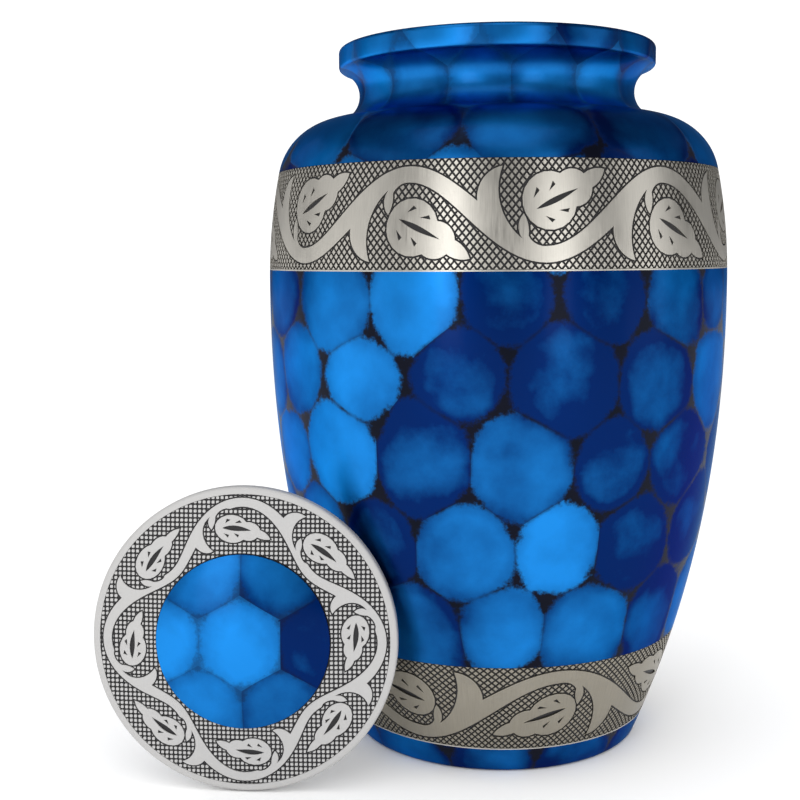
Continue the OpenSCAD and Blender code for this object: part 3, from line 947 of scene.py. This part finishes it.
def paint(code):
    """sRGB hex to linear."""
    parts = [int(code[i:i + 2], 16) / 255 for i in (1, 3, 5)]
    return [v / 12.92 if v <= .04045 else ((v + .055) / 1.055) ** 2.4 for v in parts] + [1]


def feed(tree, n, inputs):
    """Links a node's inputs to sockets, or sets their values."""
    for key, value in inputs.items():
        if isinstance(value, bpy.types.NodeSocket):
            tree.links.new(value, n.inputs[key])
        else:
            n.inputs[key].default_value = value


def node(tree, kind, inputs=None, **settings):
    """Adds a node with its settings, and links or values for its inputs."""
    n = tree.nodes.new("ShaderNode" + kind)
    for key, value in settings.items():
        setattr(n, key, value)
    feed(tree, n, inputs or {})
    return n


def material(name):
    """A new material by that name, with its Principled shader, or the one already made."""
    if name in bpy.data.materials:
        return bpy.data.materials[name], None, None
    m = bpy.data.materials.new(name)
    m.use_nodes = True
    return m, m.node_tree, m.node_tree.nodes["Principled BSDF"]


def dress(obj, *materials):
    """Puts the materials in obj's slots. Faces numbered past the last slot take the last."""
    kinds = np.empty(len(obj.data.polygons), np.int32)
    obj.data.polygons.foreach_get("material_index", kinds)
    obj.data.materials.clear()
    for m in materials:
        obj.data.materials.append(m)
    obj.data.polygons.foreach_set("material_index", np.minimum(kinds, len(materials) - 1))


def blue_lacquer():
    """Tinted clear lacquer over bright aluminium, its tint dabbed into round pebbles by a sponge.
    The metal under it gives the blue its glow, and dark veins part the pebbles."""
    m, t, bsdf = material("tinted_lacquer_over_aluminium")
    if t is None:
        return m
    f = groups()[3]
    place = node(t, "TexCoord").outputs["Object"]
    pebble = node(t, "SeparateXYZ", {0: node(t, "Attribute", attribute_name="pebble").outputs["Vector"]})
    pale = node(t, "SeparateXYZ", {0: node(t, "Attribute", attribute_name="pale").outputs["Vector"]})
    near = node(t, "Math", {0: pebble.outputs[0]}, operation="ABSOLUTE").outputs[0]
    # Sizes in millimetres: the veins wander, a lace of fine threads frays them, the tint drifts from
    # pebble to pebble, and the sponge leaves dabs.
    noise = {}
    for name, size, detail, rough in (("wander", 9, 4.0, .6), ("lace", 1.3, 4.0, .7),
                                      ("drift", 26, 2.0, .5), ("sponge", 5, 5.0, .65)):
        values = {"Vector": place, "Scale": 1 / (size * MM), "Detail": detail, "Roughness": rough}
        noise[name] = node(t, "TexNoise", values).outputs[0]
    wander, lace, drift, sponge = noise.values()
    soft = {"interpolation_type": "SMOOTHSTEP"}
    # Tint pools where three pebbles meet.
    depth = node(t, "Math", {0: near, 1: pebble.outputs[1], 2: 20.0}, operation="SMOOTH_MIN").outputs[0]
    shift = node(t, "Math", {0: wander, 1: -4.2, 2: 3.3}, operation="MULTIPLY_ADD").outputs[0]
    edge = node(t, "Math", {0: depth, 1: shift}).outputs[0]
    frayed = node(t, "Math", {0: lace, 1: -3.0, 2: edge}, operation="MULTIPLY_ADD").outputs[0]
    pool = node(t, "MapRange", {0: frayed, 1: -2.9, 2: -1.2, 3: 1.0, 4: 0.0}, **soft).outputs[0]
    # A thin line runs on where two pebbles meet, and is faint in places.
    crack = node(t, "Math", {0: lace, 1: -1.5, 2: near}, operation="MULTIPLY_ADD").outputs[0]
    crack = node(t, "MapRange", {0: crack, 1: -.9, 2: .2, 3: 1.0, 4: 0.0}, **soft).outputs[0]
    faint = node(t, "MapRange", {0: wander, 1: .38, 2: .6, 3: .3, 4: .95}).outputs[0]
    crack = node(t, "Math", {0: crack, 1: faint}, operation="MULTIPLY").outputs[0]
    vein = node(t, "Math", {0: pool, 1: crack}, operation="MAXIMUM").outputs[0]
    kept = node(t, "Math", {0: 1.0, 1: pale.outputs[2]}, operation="SUBTRACT").outputs[0]
    vein = node(t, "Math", {0: vein, 1: kept}, operation="MULTIPLY").outputs[0]
    # Each pebble has its own tone, which drifts, is dabbed, and darkens from its middle to its edge.
    halo = node(t, "MapRange", {0: edge, 1: -.6, 2: 3.2, 3: 1.0, 4: 0.0}, **soft).outputs[0]
    past = node(t, "Math", {0: pebble.outputs[0], 1: 0.0}, operation="LESS_THAN").outputs[0]
    tone = node(t, "Mix", {0: past, 2: pale.outputs[0], 3: pale.outputs[1]}).outputs[0]
    for patch, gain in ((drift, 1.3), (sponge, .3)):
        change = node(t, "Math", {0: patch, 1: gain, 2: -gain / 2}, operation="MULTIPLY_ADD").outputs[0]
        tone = node(t, "Math", {0: tone, 1: change}).outputs[0]
    middle = node(t, "MapRange", {0: pebble.outputs[2], 1: 2.0, 2: 14.0, 3: .02, 4: -.12}).outputs[0]
    tone = node(t, "Math", {0: tone, 1: middle}).outputs[0]
    tone = node(t, "Math", {0: halo, 1: -.2, 2: tone}, operation="MULTIPLY_ADD", use_clamp=True).outputs[0]
    blue = node(t, "Mix", {0: tone, 6: paint(f.deep), 7: paint(f.pale)}, data_type="RGBA").outputs[2]
    dark = node(t, "Mix", {0: drift, 6: paint(f.vein), 7: paint(f.vein_warm)}, data_type="RGBA").outputs[2]
    skin = node(t, "Mix", {0: vein, 6: blue, 7: dark}, data_type="RGBA").outputs[2]
    # The veins are nearly opaque, so the metal shines through less there.
    metal = node(t, "MapRange", {0: vein, 1: 0.0, 2: 1.0, 3: 1.0, 4: .3}).outputs[0]
    feed(t, bsdf, {"Base Color": skin, "Metallic": metal, "Roughness": .38,
                   "Specular IOR Level": .15, "Specular Tint": paint(f.sheen),
                   "Coat Weight": .06, "Coat Roughness": .14, "Coat IOR": 1.5})
    return m


# Width and length of a brush mark, and size of the clouds in the metal, in millimetres. A real mark is far
# narrower, too fine to show, so it is drawn coarser.
MARK_WIDTH, MARK_LENGTH, CLOUD = .35, 9, 14


def brushed(name, code, roughness, grain, metallic=1.0):
    """Brushed metal with fine upright lines and soft clouds. grain is how dark its marks are."""
    m, t, bsdf = material(name)
    if t is None:
        return m
    uv = node(t, "UVMap", uv_map="flat").outputs[0]
    line = node(t, "Mapping", {0: uv, 3: (1 / (MARK_WIDTH * MM), 1 / (MARK_LENGTH * MM), 1)}).outputs[0]
    brush = node(t, "TexNoise", {"Vector": line, "Scale": 1.0, "Detail": 3.0, "Roughness": .65}).outputs[0]
    cloud = node(t, "TexNoise", {"Vector": uv, "Scale": 1 / (CLOUD * MM), "Detail": 3.0}).outputs[0]
    both = node(t, "Math", {0: cloud, 1: .45, 2: brush}, operation="MULTIPLY_ADD").outputs[0]
    tint = node(t, "MapRange", {0: both, 1: .4, 2: 1.05, 3: 1 - grain, 4: 1.0}).outputs[0]
    c = node(t, "Mix", {0: 1.0, 6: paint(code), 7: tint}, data_type="RGBA", blend_type="MULTIPLY").outputs[2]
    worn = {0: both, 1: .4, 2: 1.05, 3: roughness - .08, 4: roughness + .1}
    rough = node(t, "MapRange", worn).outputs[0]
    bump = node(t, "Bump", {"Height": brush, "Strength": .25, "Distance": .04 * MM}).outputs[0]
    feed(t, bsdf, {"Base Color": c, "Roughness": rough, "Normal": bump, "Metallic": metallic})
    return m


def band_aluminium():
    """Brushed aluminium of the upper band and of the underside, bright and slightly warm."""
    return brushed("brushed_aluminium_band", groups()[3].metal, .34, .22)


def shaded_foot_aluminium():
    """Brushed aluminium of the lower band, drawn darker and browner than the upper band's same metal: painted
    shade for the shade that falls low on the urn.
    """
    return brushed("shade_darkened_aluminium_lower_band", groups()[3].metal_low_shaded, .36, .25)


def lid_aluminium():
    """Satin aluminium of the lid, so finely scattered that it looks pale and even from every side.
    Its low metallic stands for that scatter."""
    return brushed("bright_cut_aluminium_lid", groups()[3].metal_lid, .5, .08, .3)


def black_enamel():
    """Black enamel wiped into the cut ground. It dries matt and slightly grainy, so the relief stands out."""
    m, t, bsdf = material("black_enamel_fill")
    if t is None:
        return m
    f = groups()[3]
    place = node(t, "TexCoord").outputs["Object"]
    grit = node(t, "TexNoise", {"Vector": place, "Scale": 1 / (.5 * MM), "Detail": 2.0}).outputs[0]
    c = node(t, "Mix", {0: grit, 6: paint(f.fill), 7: paint(f.grit)}, data_type="RGBA").outputs[2]
    feed(t, bsdf, {"Base Color": c, "Roughness": .55})
    return m


def spun_aluminium():
    """Bare spun aluminium inside the urn and behind the lid, left unpolished: dull grey, with soft clouds."""
    m, t, bsdf = material("spun_aluminium_inside")
    if t is None:
        return m
    f = groups()[3]
    place = node(t, "TexCoord").outputs["Object"]
    cloud = node(t, "TexNoise", {"Vector": place, "Scale": 1 / (12 * MM), "Detail": 4.0}).outputs[0]
    c = node(t, "Mix", {0: cloud, 6: paint(f.spun_dark), 7: paint(f.spun_light)}, data_type="RGBA").outputs[2]
    feed(t, bsdf, {"Base Color": c, "Metallic": .75, "Roughness": .45})
    return m


# ---- studio ----

# Soft boxes: turn from the front and height in degrees, distance, width and height in metres, and power.
LIGHTS = (("left_softbox", -76, 12, 1.1, (.95, 1.1), 2.0),
          ("back_left_softbox", -122, 12, 1.2, (.5, 1), .7),
          ("front_left_strip", -21, 10, 1.2, (.24, .9), 2.5),
          ("front_right_strip", 29, 10, 1.2, (.26, .9), 1.9),
          ("right_softbox", 74, 12, 1.2, (.5, 1), 1.5),
          ("back_right_softbox", 120, 12, 1.2, (.4, 1), .2),
          ("top_softbox", -10, 62, 1.2, (1.1, .8), 3))
LIGHTS_AIM = Vector((0, 0, .12))
# Strength of the white surround, and its strength in reflections.
SURROUND, SURROUND_IN_GLOSS = 1.16, .18
LENS_MM, SENSOR_MM, LENS_SHIFT = 55.3, 36, -.012
CAMERA_PLACE = (0, -.436, .168)
CAMERA_YAW, CAMERA_DOWN, CAMERA_ROLL = math.radians(4.45), math.radians(6.36), math.radians(-.35)
FLOOR_SIZE, FLOOR_DROP = 8, .2 * MM


def soft_light(name, turn, up, far, size, power):
    """A soft area light, pointed at the middle of the urn."""
    a, e = math.radians(turn), math.radians(up)
    way = Vector((math.sin(a) * math.cos(e), -math.cos(a) * math.cos(e), math.sin(e)))
    bpy.ops.object.light_add(type="AREA", location=way * far + LIGHTS_AIM)
    o = bpy.context.object
    o.name = name
    o.rotation_euler = (-way).to_track_quat("-Z", "Y").to_euler()
    o.data.shape = "RECTANGLE"
    o.data.size, o.data.size_y = size
    o.data.energy = power


def build_floor():
    """Matt white paper, which shows no shine."""
    clear_selection()
    bpy.ops.mesh.primitive_plane_add(size=FLOOR_SIZE, location=(0, 0, -FLOOR_DROP))
    floor = bpy.context.object
    floor.name = "floor"
    m, t, bsdf = material("matt_paper_floor")
    feed(t, bsdf, {"Base Color": paint(groups()[3].floor), "Roughness": .9, "Specular IOR Level": 0})
    dress(floor, m)


def build_surround():
    """A white surround, dim in the gloss so that the metal keeps its contrast."""
    world = bpy.data.worlds.new("studio")
    world.use_nodes = True
    t = world.node_tree
    gloss = node(t, "LightPath").outputs["Is Glossy Ray"]
    strength = node(t, "Mix", {0: gloss, 2: SURROUND, 3: SURROUND_IN_GLOSS}).outputs[0]
    feed(t, t.nodes["Background"], {"Strength": strength, "Color": (1, 1, 1, 1)})
    world.cycles.sampling_method = "NONE"
    bpy.context.scene.world = world


def build_camera():
    """A short tele lens, a little above the middle of the urn and looking slightly down."""
    cam = bpy.data.objects.new("camera", bpy.data.cameras.new("camera"))
    bpy.context.scene.collection.objects.link(cam)
    cam.data.lens, cam.data.sensor_width, cam.data.shift_y = LENS_MM, SENSOR_MM, LENS_SHIFT
    cam.data.clip_start = .01
    cam.matrix_world = (Matrix.Translation(CAMERA_PLACE) @ Matrix.Rotation(CAMERA_YAW, 4, "Z")
                        @ Matrix.Rotation(math.pi / 2 - CAMERA_DOWN, 4, "X")
                        @ Matrix.Rotation(CAMERA_ROLL, 4, "Z"))
    bpy.context.scene.camera = cam


class URN_PT_panel(bpy.types.Panel):
    """The urn's sizes, colours and pieces"""
    bl_idname = "URN_PT_panel"
    bl_label = "Funeral urn"
    bl_space_type = "VIEW_3D"
    bl_region_type = "UI"
    bl_category = "Urn"

    def draw(self, context):
        for op in OPERATORS:
            self.layout.operator(op.bl_idname)
        for group in groups():
            box = self.layout.box()
            for name in group.__annotations__:
                box.prop(group, name)


OPERATORS = (URN_OT_shell, URN_OT_bands, URN_OT_lid, URN_OT_studio)
GROUPS = {"urn_sizes": UrnSizes, "urn_bands": BandSizes, "urn_lid": LidSizes, "urn_finishes": Finishes}
CLASSES = (*GROUPS.values(), *OPERATORS, URN_PT_panel)


def register():
    for c in CLASSES:
        bpy.utils.register_class(c)
    for name, group in GROUPS.items():
        setattr(bpy.types.Scene, name, PointerProperty(type=group))


def unregister():
    for name in GROUPS:
        delattr(bpy.types.Scene, name)
    for c in reversed(CLASSES):
        bpy.utils.unregister_class(c)


def main():
    """Makes every piece."""
    register()
    for op in OPERATORS:
        family, name = op.bl_idname.split(".")
        getattr(getattr(bpy.ops, family), name)()


if __name__ == "__main__":
    main()
